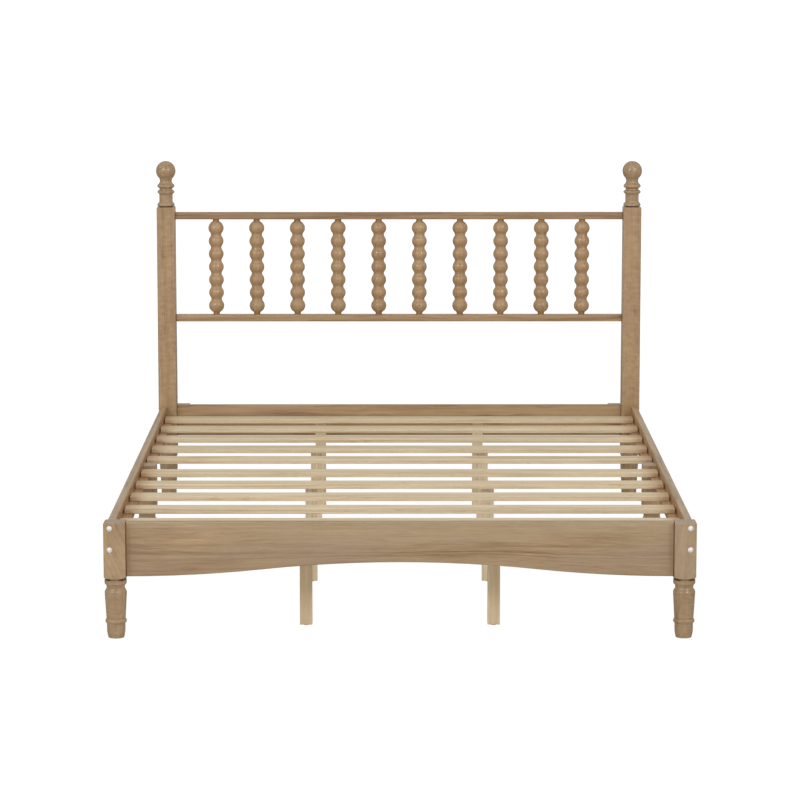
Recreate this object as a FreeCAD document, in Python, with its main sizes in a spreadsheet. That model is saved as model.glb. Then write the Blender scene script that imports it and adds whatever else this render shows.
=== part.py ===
import FreeCAD, Part
import os
from types import SimpleNamespace

import Sketcher
from FreeCAD import Placement, Rotation, Vector

# Driving sizes in millimetres. X runs across the bed, +Y towards its head and +Z up from the floor.
SIZES = {
    "mattress_width": 1524,
    "mattress_length": 2032,
    "mattress_side_play": 15,
    "mattress_end_play": 5.75,
    # square posts
    "post_width": 60,
    "post_edge_radius": 3.5,
    "post_shoulder_rise": 7,
    "foot_post_length": 156,
    "head_post_length": 821,
    # turned leg, from the floor up
    "leg_toe_diameter": 42.5,
    "leg_toe_rise": 26,
    "leg_ankle_diameter": 50.3,
    "leg_ankle_rise": 14,
    "leg_ring_diameter": 58.4,
    "leg_ring_rise": 13,
    "leg_step_diameter": 52.5,
    "leg_step_rise": 2,
    "leg_calf_diameter": 60.4,
    "leg_calf_rise": 70,
    "leg_shoulder_rise": 14.5,
    "leg_neck_diameter": 49.6,
    "leg_neck_rise": 2,
    "leg_flare_rise": 12,
    "leg_collar_diameter": 60.4,
    "leg_collar_rise": 7,
    "leg_groove_diameter": 46,
    "leg_groove_rise": 4.5,
    "leg_spigot_diameter": 25,
    "leg_spigot_length": 35,
    # turned finial, from its spigot up
    "finial_spigot_diameter": 20,
    "finial_spigot_length": 30,
    "finial_groove_diameter": 44,
    "finial_groove_rise": 3.5,
    "finial_ring_diameter": 57,
    "finial_base_rise": 4,
    "finial_base_slope_rise": 12,
    "finial_stem_diameter": 44.4,
    "finial_stem_rise": 20.5,
    "finial_stem_slope_rise": 10,
    "finial_ring_groove_diameter": 42.5,
    "finial_ring_slope_rise": 9.4,
    "finial_neck_diameter": 39.8,
    "finial_neck_slope_rise": 17.5,
    "finial_ball_diameter": 65,
    "finial_ball_seat_diameter": 43.4,
    "finial_ball_seat_rise": 8.7,
    "finial_ball_lower_rise": 24.4,
    # turned spindle with stacked beads
    "spindle_tenon_diameter": 14,
    "spindle_tenon_length": 12,
    "spindle_neck_diameter": 21,
    "spindle_neck_rise": 4,
    "spindle_end_bead_diameter": 51,
    "spindle_end_bead_rise": 25.8,
    "spindle_bead_diameter": 49.6,
    "spindle_bead_pitch": 43.1,
    "spindle_waist_diameter": 35,
    "spindle_end_gap": 135.2,
    # rails of the headboard
    "spindle_rail_height": 23.4,
    "spindle_rail_depth": 25,
    "spindle_rail_drop": 18,
    "head_rail_height": 103,
    "head_rail_thickness": 20,
    "head_rail_setback": 20,
    "corner_block_width": 42,
    "corner_block_depth": 20,
    # arched rail at the foot
    "foot_rail_end_height": 151,
    "foot_rail_thickness": 22,
    "foot_rail_setback": 20,
    "foot_rail_arch_rise": 39,
    "rail_edge_radius": 2.5,
    # side rails and what they carry
    "side_rail_thickness": 20.5,
    "side_rail_height": 100,
    "side_rail_inset": 6.5,
    "side_rail_drop": 4,
    "ledger_width": 25,
    "ledger_height": 20,
    "ledger_end_gap": 10,
    "slat_width": 66,
    "slat_thickness": 14,
    "slat_drop": 19,
    "slat_end_play": 4,
    "slat_end_gap": 110.15,
    "slat_middle_gap": 237.6,
    "board_edge_radius": 2,
    # legs under the slats
    "support_leg_width": 34,
    "support_leg_spacing": 520,
    "glide_diameter": 17,
    "glide_thickness": 3,
    "glide_pin_diameter": 3,
    "glide_pin_length": 14,
    # bolts and the barrel nuts they pull on
    "bolt_diameter": 6,
    "bolt_play": 1,
    "bolt_head_diameter": 15,
    "bolt_head_rise": 4,
    "bolt_nut_reach": 35,
    "bolt_tip_length": 8,
    "upper_bolt_drop": 11,
    "lower_bolt_drop": 70,
    "nut_diameter": 10,
    "nut_length": 16,
    "mid_bolt_inset": 22,
    "mid_bolt_reach": 14,
    # dowels and screws
    "dowel_diameter": 10,
    "dowel_length": 40,
    "foot_dowel_inset": 40,
    "head_dowel_inset": 28,
    "leg_dowel_slat_depth": 8,
    "screw_diameter": 4,
    "screw_head_diameter": 8,
    "screw_head_depth": 2.5,
    "slat_screw_bite": 9,
    "frame_screw_length": 37,
    "block_screw_inset": 12,
    "fit_play": 0.2,
    "cut_overrun": 1,
}
SPINDLE_COUNT = 10
BEADS_BETWEEN_END_BEADS = 5
SLATS_PER_HALF = 5
SLATS_BETWEEN_SUPPORT_ROWS = 2
# Shares of a rise that the first of two arcs takes, and of a post's width that its turned foot spans
RING_SLOPE_SHARE = 0.5
NECK_SLOPE_SHARE = 0.4
LEG_SHOULDER_SHARE = 0.6
LEG_FLARE_SHARE = 0.45
BEAD_SHARE = 0.65
END_BEAD_SHARE = 0.82
SHOULDER_FOOT_SHARE = 0.98
SHOULDER_TOP_SHARE = 1.45
SIDES = {"left": -1, "right": 1}
ENDS = {"foot": -1, "head": 1}
TURNS = {
    "+x": Rotation(Vector(0, 1, 0), 90),
    "-x": Rotation(Vector(0, 1, 0), -90),
    "+y": Rotation(Vector(1, 0, 0), -90),
    "-y": Rotation(Vector(1, 0, 0), 90),
    "+z": Rotation(),
    "-z": Rotation(Vector(1, 0, 0), 180),
}
HALF_TURN = Rotation(Vector(0, 0, 1), 180)

doc = FreeCAD.newDocument("platform_bed")
sheet = doc.addObject("Spreadsheet::Sheet", "sizes")
for row, (alias, number) in enumerate(SIZES.items(), start=1):
    sheet.set(f"A{row}", alias)
    sheet.set(f"B{row}", str(number))
    sheet.setAlias(f"B{row}", alias)
doc.recompute()
nodes = {}


class Length:
    """A length from the sheet: the formula that the document keeps, and what it comes to now."""

    def __init__(self, formula, value):
        self.formula = formula
        self.value = value

    def joined(self, sign, other, value):
        return Length(f"({self.formula} {sign} {other.formula})", value)

    def __add__(self, other):
        other = as_length(other)
        return self.joined("+", other, self.value + other.value)

    def __sub__(self, other):
        other = as_length(other)
        return self.joined("-", other, self.value - other.value)

    def __mul__(self, other):
        other = as_length(other)
        return self.joined("*", other, self.value * other.value)

    def __truediv__(self, other):
        other = as_length(other)
        return self.joined("/", other, self.value / other.value)

    def __neg__(self):
        return self * -1

    __radd__ = __add__
    __rmul__ = __mul__


def as_length(number):
    return number if isinstance(number, Length) else Length(f"({number})", number)


size = SimpleNamespace(**{alias: Length(f"sizes.{alias}", sheet.get(alias)) for alias in SIZES})


def bind(thing, **lengths):
    for name, length in lengths.items():
        thing.setExpression(name, as_length(length).formula)


def place(thing, spot, turn=Rotation()):
    thing.Placement = Placement(Vector(), turn)
    for axis, length in zip("xyz", spot):
        thing.setExpression(f"Placement.Base.{axis}", as_length(length).formula)


def shifted(spot, axis, length):
    """The spot moved by a length along an axis such as +x or -y."""
    signed = length if axis[0] == "+" else -length
    return tuple(part + signed if name == axis[1] else part for name, part in zip("xyz", spot))


def low_corner(sign, near, span):
    """Lower coordinate of a piece that reaches out from near by span, on either side of the middle."""
    return near if sign > 0 else -(near + span)


def outward(sign, axis):
    return ("+" if sign > 0 else "-") + axis


def inward(sign, axis):
    return outward(-sign, axis)


def sketched(body, role, points, bends):
    """A closed sketch through the points; a bend is an arc's radius and middle, None a straight run."""
    sketch = body.newObject("Sketcher::SketchObject", body.Name + "_outline")
    plane = next(item for item in body.Origin.OriginFeatures if item.Role == role)
    sketch.AttachmentSupport = [(plane, "")]
    sketch.MapMode = "FlatFace"
    spots = [Vector(as_length(x).value, as_length(y).value, 0) for x, y in points]
    ends = []
    for index, bend in enumerate(bends):
        start, finish = spots[index], spots[(index + 1) % len(spots)]
        curve = Part.LineSegment(start, finish)
        if bend:
            curve = Part.Arc(start, Vector(*bend[1], 0), finish)
        sketch.addGeometry(curve)
        gaps = [sketch.getPoint(index, end).distanceToPoint(start) for end in (1, 2)]
        ends.append((1, 2) if gaps[0] < gaps[1] else (2, 1))
    rules = []
    formulas = []
    for index, bend in enumerate(bends):
        after = (index + 1) % len(bends)
        first = ends[index][0]
        rules.append(Sketcher.Constraint("Coincident", index, ends[index][1], after, ends[after][0]))
        formulas.append(None)
        across, up = points[index]
        for rule, line, along in (("DistanceX", -2, across), ("DistanceY", -1, up)):
            if isinstance(along, Length):
                rules.append(Sketcher.Constraint(rule, -1, 1, index, first, along.value))
                formulas.append(along.formula)
            else:
                rules.append(Sketcher.Constraint("PointOnObject", index, first, line))
                formulas.append(None)
        if bend:
            rules.append(Sketcher.Constraint("Radius", index, bend[0].value))
            formulas.append(bend[0].formula)
    sketch.addConstraint(rules)
    for index, formula in enumerate(formulas):
        if formula:
            sketch.setExpression(f"Constraints[{index}]", formula)
    return sketch


def padded(body, sketch, length):
    pad = body.newObject("PartDesign::Pad", body.Name + "_pad")
    pad.Profile = sketch
    bind(pad, Length=length)
    doc.recompute()
    return pad


def eased(body, feature, radius, chosen):
    """Round the edges of the feature that are chosen."""
    names = [f"Edge{index}" for index, edge in enumerate(feature.Shape.Edges, start=1) if chosen(edge)]
    rounding = body.newObject("PartDesign::Fillet", body.Name + "_rounding")
    rounding.Base = (feature, names)
    bind(rounding, Radius=radius)
    return rounding


def runs_along(edge, axis):
    box = edge.BoundBox
    spans = {"x": box.XLength, "y": box.YLength, "z": box.ZLength}
    return spans.pop(axis) > max(spans.values())


def block(name, spans, corner, radius, chosen):
    """A rectangular piece with the chosen edges rounded."""
    width, depth, height = spans
    body = doc.addObject("PartDesign::Body", name)
    points = [(0, 0), (width, 0), (width, depth), (0, depth)]
    pad = padded(body, sketched(body, "XY_Plane", points, [None] * len(points)), height)
    eased(body, pad, radius, chosen)
    place(body, corner)
    return body


def board(name, spans, corner, radius, axes):
    """A rectangular piece with its edges along the given axes rounded."""
    return block(name, spans, corner, radius, lambda edge: any(runs_along(edge, axis) for axis in axes))


class Profile:
    """Half outline of a turned piece, drawn from its foot up; each call climbs by one rise."""

    def __init__(self, diameter):
        self.points = [(0, 0), (diameter / 2, 0)]
        self.bends = [None]

    def climb(self, diameter, rise, bend=None):
        self.bends.append(bend)
        self.points.append((diameter / 2, self.points[-1][1] + rise))
        return self

    def step(self, diameter):
        self.bends.append(None)
        self.points.append((diameter / 2, self.points[-1][1]))
        return self

    def sway(self, diameter, rise, lower_share):
        """Two arcs that meet smoothly and stand upright at both ends; the lower one takes its share."""
        start = self.points[-1][0] * 2
        self.fall(start + (diameter - start) * lower_share, rise * lower_share)
        return self.swell(diameter, rise * (1 - lower_share))

    def bead(self, diameter, rise):
        """A round moulding that comes back to the same diameter."""
        radius, foot = self.points[-1]
        swell = diameter / 2 - radius
        half = rise / 2
        bow = (half * half + swell * swell) / (swell * 2)
        middle = (diameter.value / 2, as_length(foot).value + half.value)
        return self.climb(radius * 2, rise, (bow, middle))

    def curve(self, diameter, rise, upright_at_end):
        """An arc that stands upright at its upper end or at its lower end."""
        radius, foot = self.points[-1]
        swell = diameter / 2 - radius
        sign = 1 if swell.value > 0 else -1
        swell = swell * sign
        bow = (rise * rise + swell * swell) / (swell * 2)
        upright = diameter.value / 2 if upright_at_end else radius.value
        bulge = sign if upright_at_end else -sign
        reach = (bow.value**2 - (rise.value / 2) ** 2) ** 0.5
        middle = (upright - bulge * (bow.value - reach), as_length(foot).value + rise.value / 2)
        return self.climb(diameter, rise, (bow, middle))

    def swell(self, diameter, rise):
        return self.curve(diameter, rise, True)

    def fall(self, diameter, rise):
        return self.curve(diameter, rise, False)

    def dome(self, rise):
        """A round top whose middle is on the axis."""
        radius, foot = self.points[-1]
        bow = (radius * radius + rise * rise) / (rise * 2)
        across = radius.value / 2
        drop = bow.value - (bow.value**2 - across**2) ** 0.5
        self.bends.append((bow, (across, foot.value + rise.value - drop)))
        self.points.append((0, foot + rise))
        return self

    def close(self):
        """Finish on the axis and return down it."""
        if isinstance(self.points[-1][0], Length):
            self.bends.append(None)
            self.points.append((0, self.points[-1][1]))
        self.bends.append(None)
        return self


def turned(name, profile, spot, turn=Rotation()):
    body = doc.addObject("PartDesign::Body", name)
    lathe = body.newObject("PartDesign::Revolution", name + "_turning")
    sketch = sketched(body, "XZ_Plane", profile.points, profile.bends)
    lathe.Profile = sketch
    lathe.ReferenceAxis = (sketch, ["V_Axis"])
    lathe.Angle = 360
    body.Tip = lathe
    place(body, spot, turn)
    return body


def rod(name, diameter, length, spot, axis):
    cylinder = doc.addObject("Part::Cylinder", name)
    bind(cylinder, Radius=diameter / 2, Height=length)
    place(cylinder, spot, TURNS[axis])
    return cylinder


def bore(diameter, depth, spot, axis):
    """A hole that starts just outside a face and goes in along the axis."""
    start = shifted(spot, axis, -size.cut_overrun)
    return rod("bore", diameter, depth + size.cut_overrun, start, axis)


def countersink(play, spot, axis):
    """The cone under a screw's head, narrowing along the axis; play widens it to a seat."""
    cone = doc.addObject("Part::Cone", "countersink")
    bind(cone, Radius1=(size.screw_head_diameter + play) / 2, Radius2=(size.screw_diameter + play) / 2)
    bind(cone, Height=size.screw_head_depth)
    place(cone, spot, TURNS[axis])
    return cone


def fused(name, pieces):
    if len(pieces) == 1:
        return pieces[0]
    whole = doc.addObject("Part::MultiFuse", name)
    whole.Shapes = pieces
    return whole


def keep(name, thing):
    thing.Label = name
    nodes[name] = thing


def keep_drilled(name, blank, bores):
    """Keep the blank with its holes cut, as one piece."""
    blank.Label = name + "_blank"
    cut = doc.addObject("Part::Cut", name)
    cut.Base = blank
    cut.Tool = fused(name + "_bores", bores)
    keep(name, cut)


def keep_copy(name, pattern, spot):
    """Keep one of several pieces that are turned alike."""
    copy = doc.addObject("App::Link", name)
    copy.LinkedObject = pattern
    place(copy, spot)
    keep(name, copy)


def keep_group(name, pieces):
    group = doc.addObject("Part::Compound", name)
    group.Links = pieces
    keep(name, group)


def screw(length, spot, axis):
    shank = rod("screw_shank", size.screw_diameter, length, spot, axis)
    return fused("screw", [countersink(0, spot, axis), shank])


def screw_seat(spot, axis, depth):
    """A clearance hole with its countersink."""
    hole = bore(size.screw_diameter + size.fit_play, depth, spot, axis)
    return [countersink(size.fit_play, spot, axis), hole]


def pilot(spot, axis, length):
    """The hole that a screw of this length fills, measured from its head."""
    return bore(size.screw_diameter + size.fit_play, length + size.cut_overrun, spot, axis)


def bolt(length, spot, axis):
    """A bolt with a domed head that sits on a face and a shank that goes in along the axis."""
    profile = Profile(size.bolt_diameter).climb(size.bolt_diameter, length)
    profile.step(size.bolt_head_diameter).dome(size.bolt_head_rise).close()
    foot = shifted(spot, axis, length)
    return turned("bolt", profile, foot, TURNS[inward(1 if axis[0] == "+" else -1, axis[1])])


# Levels and planes that several pieces share
leg_height = sum(
    (
        size.leg_toe_rise,
        size.leg_ankle_rise,
        size.leg_ring_rise,
        size.leg_step_rise,
        size.leg_calf_rise,
        size.leg_shoulder_rise,
        size.leg_neck_rise,
        size.leg_flare_rise,
        size.leg_collar_rise,
    ),
    size.leg_groove_rise,
)
rail_level = leg_height + size.foot_post_length
side_rail_top = rail_level - size.side_rail_drop
side_rail_bottom = side_rail_top - size.side_rail_height
slat_top = side_rail_top - size.slat_drop
slat_bottom = slat_top - size.slat_thickness
head_post_top = leg_height + size.head_post_length
half_clear_length = size.mattress_length / 2 + size.mattress_end_play
side_rail_inner = size.mattress_width / 2 + size.mattress_side_play
side_rail_outer = side_rail_inner + size.side_rail_thickness
post_inner = side_rail_outer + size.side_rail_inset - size.post_width
post_middle_x = post_inner + size.post_width / 2
post_middle_y = half_clear_length + size.post_width / 2
post_outer_y = half_clear_length + size.post_width
bolt_x = side_rail_inner + size.side_rail_thickness / 2
bolt_heights = (side_rail_top - size.upper_bolt_drop, side_rail_top - size.lower_bolt_drop)
bolt_bore = size.bolt_diameter + size.bolt_play
bolt_length = size.post_width + size.bolt_nut_reach + size.bolt_tip_length
nut_y = half_clear_length - size.bolt_nut_reach
ledger_inner = side_rail_inner - size.ledger_width
ledger_bottom = slat_bottom - size.ledger_height
mid_post_inner = side_rail_outer - size.post_width
mid_bolt_heights = (side_rail_bottom + size.mid_bolt_inset, slat_top - size.mid_bolt_inset)
half_slat_run = half_clear_length - size.slat_end_gap - size.slat_middle_gap / 2
slat_pitch = half_slat_run / (SLATS_PER_HALF - 1)
supported_slats = range(1, SLATS_PER_HALF * 2 + 1, SLATS_BETWEEN_SUPPORT_ROWS + 1)
slat_screw_x = side_rail_inner - size.ledger_width / 2
slat_screw_length = size.ledger_height + size.slat_screw_bite
foot_rail_bottom = rail_level - size.foot_rail_end_height
foot_rail_front = -post_outer_y + size.foot_rail_setback
foot_rail_back = foot_rail_front + size.foot_rail_thickness
head_rail_bottom = rail_level - size.head_rail_height
head_rail_front = half_clear_length + size.head_rail_setback
head_rail_back = head_rail_front + size.head_rail_thickness
top_rail_bottom = head_post_top - size.spindle_rail_drop - size.spindle_rail_height
spindle_clear = (
    (size.spindle_neck_rise + size.spindle_end_bead_rise) * 2
    + size.spindle_bead_pitch * (BEADS_BETWEEN_END_BEADS + 1)
)
lower_rail_bottom = top_rail_bottom - spindle_clear - size.spindle_rail_height
spindle_pitch = (post_inner - size.spindle_end_gap) * 2 / (SPINDLE_COUNT - 1)
first_spindle = size.spindle_end_gap - post_inner
spindle_places = [first_spindle + spindle_pitch * index for index in range(SPINDLE_COUNT)]
dowel_half = size.dowel_length / 2
dowel_bore = size.dowel_diameter + size.fit_play
leg_dowel_depth = size.dowel_length - size.leg_dowel_slat_depth


def slat_middle(number):
    """Y of a slat's middle; slat 1 is next to the head."""
    from_middle = size.slat_middle_gap / 2
    if number <= SLATS_PER_HALF:
        return from_middle + slat_pitch * (SLATS_PER_HALF - number)
    return -(from_middle + slat_pitch * (number - SLATS_PER_HALF - 1))


def support_leg_middle(number):
    """Y of a support leg's middle: its rear face lines up with its slat's rear edge."""
    return slat_middle(number) + size.slat_width / 2 - size.support_leg_width / 2


# Each rail end has dowels into the posts: the middle of the rail's thickness, and the dowel's height.
foot_rail_middle = foot_rail_front + size.foot_rail_thickness / 2
head_rail_middle = head_rail_front + size.head_rail_thickness / 2
foot_rail_dowels = [
    (foot_rail_middle, rail_level - size.foot_dowel_inset),
    (foot_rail_middle, foot_rail_bottom + size.foot_dowel_inset),
]
head_rail_dowels = [
    (head_rail_middle, rail_level - size.head_dowel_inset),
    (head_rail_middle, head_rail_bottom + size.head_dowel_inset),
]
top_rail_dowels = [(post_middle_y, top_rail_bottom + size.spindle_rail_height / 2)]
lower_rail_dowels = [(post_middle_y, lower_rail_bottom + size.spindle_rail_height / 2)]


def dowel_bores_in_post(sign, dowels):
    depth = dowel_half + size.cut_overrun
    return [bore(dowel_bore, depth, (post_inner * sign, y, z), outward(sign, "x")) for y, z in dowels]


def dowel_bores_in_rail(dowels):
    depth = dowel_half + size.cut_overrun
    return [
        bore(dowel_bore, depth, (post_inner * sign, y, z), inward(sign, "x"))
        for sign in SIDES.values()
        for y, z in dowels
    ]


def leg_profile():
    profile = Profile(size.leg_toe_diameter)
    profile.swell(size.leg_ankle_diameter, size.leg_toe_rise)
    profile.climb(size.leg_ankle_diameter, size.leg_ankle_rise)
    profile.bead(size.leg_ring_diameter, size.leg_ring_rise)
    profile.climb(size.leg_step_diameter, size.leg_step_rise)
    profile.climb(size.leg_calf_diameter, size.leg_calf_rise)
    profile.sway(size.leg_neck_diameter, size.leg_shoulder_rise, LEG_SHOULDER_SHARE)
    profile.climb(size.leg_neck_diameter, size.leg_neck_rise)
    profile.sway(size.leg_collar_diameter, size.leg_flare_rise, LEG_FLARE_SHARE)
    profile.climb(size.leg_collar_diameter, size.leg_collar_rise)
    profile.step(size.leg_groove_diameter)
    profile.climb(size.leg_groove_diameter, size.leg_groove_rise)
    profile.step(size.leg_spigot_diameter)
    profile.climb(size.leg_spigot_diameter, size.leg_spigot_length)
    return profile.close()


def finial_profile():
    profile = Profile(size.finial_spigot_diameter)
    profile.climb(size.finial_spigot_diameter, size.finial_spigot_length)
    profile.step(size.finial_groove_diameter)
    profile.climb(size.finial_groove_diameter, size.finial_groove_rise)
    profile.step(size.finial_ring_diameter)
    profile.climb(size.finial_ring_diameter, size.finial_base_rise)
    profile.sway(size.finial_stem_diameter, size.finial_base_slope_rise, RING_SLOPE_SHARE)
    profile.climb(size.finial_stem_diameter, size.finial_stem_rise)
    profile.sway(size.finial_ring_diameter, size.finial_stem_slope_rise, RING_SLOPE_SHARE)
    profile.sway(size.finial_ring_groove_diameter, size.finial_ring_slope_rise, RING_SLOPE_SHARE)
    profile.sway(size.finial_ring_diameter, size.finial_ring_slope_rise, RING_SLOPE_SHARE)
    profile.sway(size.finial_neck_diameter, size.finial_neck_slope_rise, NECK_SLOPE_SHARE)
    profile.fall(size.finial_ball_seat_diameter, size.finial_ball_seat_rise)
    profile.swell(size.finial_ball_diameter, size.finial_ball_lower_rise)
    profile.dome(size.finial_ball_diameter / 2)
    return profile.close()


def spindle_profile():
    profile = Profile(size.spindle_tenon_diameter)
    profile.climb(size.spindle_tenon_diameter, size.spindle_tenon_length)
    profile.step(size.spindle_neck_diameter)
    profile.climb(size.spindle_neck_diameter, size.spindle_neck_rise)
    profile.sway(size.spindle_end_bead_diameter, size.spindle_end_bead_rise, 1 - END_BEAD_SHARE)
    half = size.spindle_bead_pitch / 2
    for _ in range(BEADS_BETWEEN_END_BEADS):
        profile.sway(size.spindle_waist_diameter, half, BEAD_SHARE)
        profile.sway(size.spindle_bead_diameter, half, 1 - BEAD_SHARE)
    profile.sway(size.spindle_waist_diameter, half, BEAD_SHARE)
    profile.sway(size.spindle_end_bead_diameter, half, 1 - BEAD_SHARE)
    profile.sway(size.spindle_neck_diameter, size.spindle_end_bead_rise, END_BEAD_SHARE)
    profile.climb(size.spindle_neck_diameter, size.spindle_neck_rise)
    profile.step(size.spindle_tenon_diameter)
    profile.climb(size.spindle_tenon_diameter, size.spindle_tenon_length)
    return profile.close()


leg_pattern = turned("leg_pattern", leg_profile(), (0, 0, 0))
finial_pattern = turned("finial_pattern", finial_profile(), (0, 0, 0))


def spigot_bore(diameter, length, spot, axis):
    return bore(diameter + size.fit_play, length + size.cut_overrun, spot, axis)


def leg_spigot_bore(x, y):
    return spigot_bore(size.leg_spigot_diameter, size.leg_spigot_length, (x, y, leg_height), "+z")


def rail_bolt_spots():
    """Where each side rail bolt's head sits: side sign, end sign, and its spot on the post's face."""
    for side in SIDES.values():
        for end in ENDS.values():
            for height in bolt_heights:
                yield side, end, (bolt_x * side, post_outer_y * end, height)


def is_above_foot(edge):
    """Whether an edge of a corner post is not one of those around its foot."""
    return edge.BoundBox.ZMax > size.post_edge_radius.value


def shouldered(name, blank, spot, length):
    """The post with the foot of its corners turned away above the round leg."""
    across = size.post_width * SHOULDER_TOP_SHARE
    profile = Profile(size.post_width * SHOULDER_FOOT_SHARE).climb(across, size.post_shoulder_rise)
    profile.climb(across, length - size.post_shoulder_rise + size.cut_overrun).close()
    common = doc.addObject("Part::Common", name + "_shouldered")
    common.Base = blank
    common.Tool = turned(name + "_shoulder", profile, spot)
    return common


def make_corner_posts():
    lengths = {"foot": size.foot_post_length, "head": size.head_post_length}
    dowels = {"foot": foot_rail_dowels, "head": head_rail_dowels + top_rail_dowels + lower_rail_dowels}
    for side_name, side in SIDES.items():
        for end_name, end in ENDS.items():
            corner = (
                low_corner(side, post_inner, size.post_width),
                low_corner(end, half_clear_length, size.post_width),
                leg_height,
            )
            middle = (post_middle_x * side, post_middle_y * end)
            spans = (size.post_width, size.post_width, lengths[end_name])
            name = f"{end_name}_post_{side_name}"
            square = block(name + "_square", spans, corner, size.post_edge_radius, is_above_foot)
            blank = shouldered(name, square, (*middle, leg_height), lengths[end_name])
            bores = [leg_spigot_bore(*middle)] + dowel_bores_in_post(side, dowels[end_name])
            through = size.post_width + size.cut_overrun
            bores += [
                bore(bolt_bore, through, spot, inward(end, "y"))
                for bolt_side, bolt_end, spot in rail_bolt_spots()
                if (bolt_side, bolt_end) == (side, end)
            ]
            if end_name == "head":
                top = (*middle, head_post_top)
                reach = size.finial_spigot_length
                bores.append(spigot_bore(size.finial_spigot_diameter, reach, top, "-z"))
                foot = (*middle, head_post_top - reach)
                keep_copy(f"head_finial_{side_name}", finial_pattern, foot)
            keep_drilled(name, blank, bores)
            keep_copy(f"{end_name}_leg_{side_name}", leg_pattern, (*middle, 0))


def is_outer_corner(edge):
    """Whether an upright edge of a mid post is one of those away from its notch."""
    x = edge.CenterOfMass.x
    near = min(abs(x), abs(x - size.post_width.value))
    return runs_along(edge, "z") and near < size.post_edge_radius.value


def make_mid_posts():
    """The post half way along each side, notched so that the side rail sits in it."""
    notch_foot = side_rail_bottom - leg_height
    full = slat_top - leg_height
    inside = size.post_width - size.side_rail_thickness
    points = [
        (0, 0),
        (size.post_width, 0),
        (size.post_width, notch_foot),
        (inside, notch_foot),
        (inside, full),
        (0, full),
    ]
    for side_name, side in SIDES.items():
        name = f"mid_post_{side_name}"
        body = doc.addObject("PartDesign::Body", name + "_blank")
        pad = padded(body, sketched(body, "XZ_Plane", points, [None] * len(points)), size.post_width)
        eased(body, pad, size.post_edge_radius, is_outer_corner)
        half = size.post_width / 2
        turn = Rotation() if side > 0 else HALF_TURN
        place(body, (mid_post_inner * side, half * side, leg_height), turn)
        middle_x = (mid_post_inner + half) * side
        blank = shouldered(name, body, (middle_x, 0, leg_height), full)
        bores = [leg_spigot_bore(middle_x, 0)]
        bores += [
            bore(bolt_bore, size.post_width, (mid_post_inner * side, 0, height), outward(side, "x"))
            for height in mid_bolt_heights
        ]
        keep_drilled(name, blank, bores)
        keep_copy(f"mid_leg_{side_name}", leg_pattern, (middle_x, 0, 0))


def make_foot_rail():
    """The rail between the foot posts; its lower edge is two end curves and a middle one, tangent."""
    span = post_inner * 2
    rise = size.foot_rail_arch_rise
    half_rise = rise / 2
    quarter = span / 4
    bow = (quarter * quarter + half_rise * half_rise) / rise
    points = [
        (0, 0),
        (quarter, half_rise),
        (quarter * 3, half_rise),
        (span, 0),
        (span, size.foot_rail_end_height),
        (0, size.foot_rail_end_height),
    ]
    sag = bow.value - (bow.value**2 - (quarter.value / 2) ** 2) ** 0.5
    left_middle = (quarter.value / 2, sag)
    right_middle = (span.value - quarter.value / 2, sag)
    arch_middle = (span.value / 2, rise.value)
    bends = [(bow, left_middle), (bow, arch_middle), (bow, right_middle), None, None, None]
    body = doc.addObject("PartDesign::Body", "foot_rail_blank")
    pad = padded(body, sketched(body, "XZ_Plane", points, bends), size.foot_rail_thickness)
    eased(body, pad, size.rail_edge_radius, lambda edge: runs_along(edge, "x"))
    place(body, (-post_inner, foot_rail_back, foot_rail_bottom))
    keep_drilled("foot_rail", body, dowel_bores_in_rail(foot_rail_dowels))


def make_head_rails():
    span = post_inner * 2
    spans = (span, size.head_rail_thickness, size.head_rail_height)
    corner = (-post_inner, head_rail_front, head_rail_bottom)
    blank = board("head_rail_blank", spans, corner, size.rail_edge_radius, "x")
    bores = dowel_bores_in_rail(head_rail_dowels)
    bores += [pilot(spot, "-y", size.frame_screw_length) for spot in block_screw_spots()]
    keep_drilled("head_rail", blank, bores)

    lower_rail_top = lower_rail_bottom + size.spindle_rail_height
    rails = {
        "top_spindle_rail": (top_rail_bottom, top_rail_bottom, "+z", top_rail_dowels),
        "lower_spindle_rail": (lower_rail_bottom, lower_rail_top, "-z", lower_rail_dowels),
    }
    front = post_middle_y - size.spindle_rail_depth / 2
    spans = (span, size.spindle_rail_depth, size.spindle_rail_height)
    for name, (bottom, face, axis, dowels) in rails.items():
        blank = board(name + "_blank", spans, (-post_inner, front, bottom), size.rail_edge_radius, "x")
        bores = dowel_bores_in_rail(dowels)
        for x in spindle_places:
            spot = (x, post_middle_y, face)
            bores.append(spigot_bore(size.spindle_tenon_diameter, size.spindle_tenon_length, spot, axis))
        keep_drilled(name, blank, bores)


def make_spindles():
    pattern = turned("spindle_pattern", spindle_profile(), (0, 0, 0))
    foot = lower_rail_bottom + size.spindle_rail_height - size.spindle_tenon_length
    for number, x in enumerate(spindle_places, start=1):
        keep_copy(f"spindle_{number:02d}", pattern, (x, post_middle_y, foot))


def block_screw_spots():
    """Heads of the screws that hold the corner blocks to the back of the head rail."""
    x = post_inner - size.corner_block_width / 2
    back = head_rail_back + size.corner_block_depth
    heights = (head_rail_bottom + size.block_screw_inset, rail_level - size.block_screw_inset)
    return [(x * side, back, height) for side in SIDES.values() for height in heights]


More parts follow.
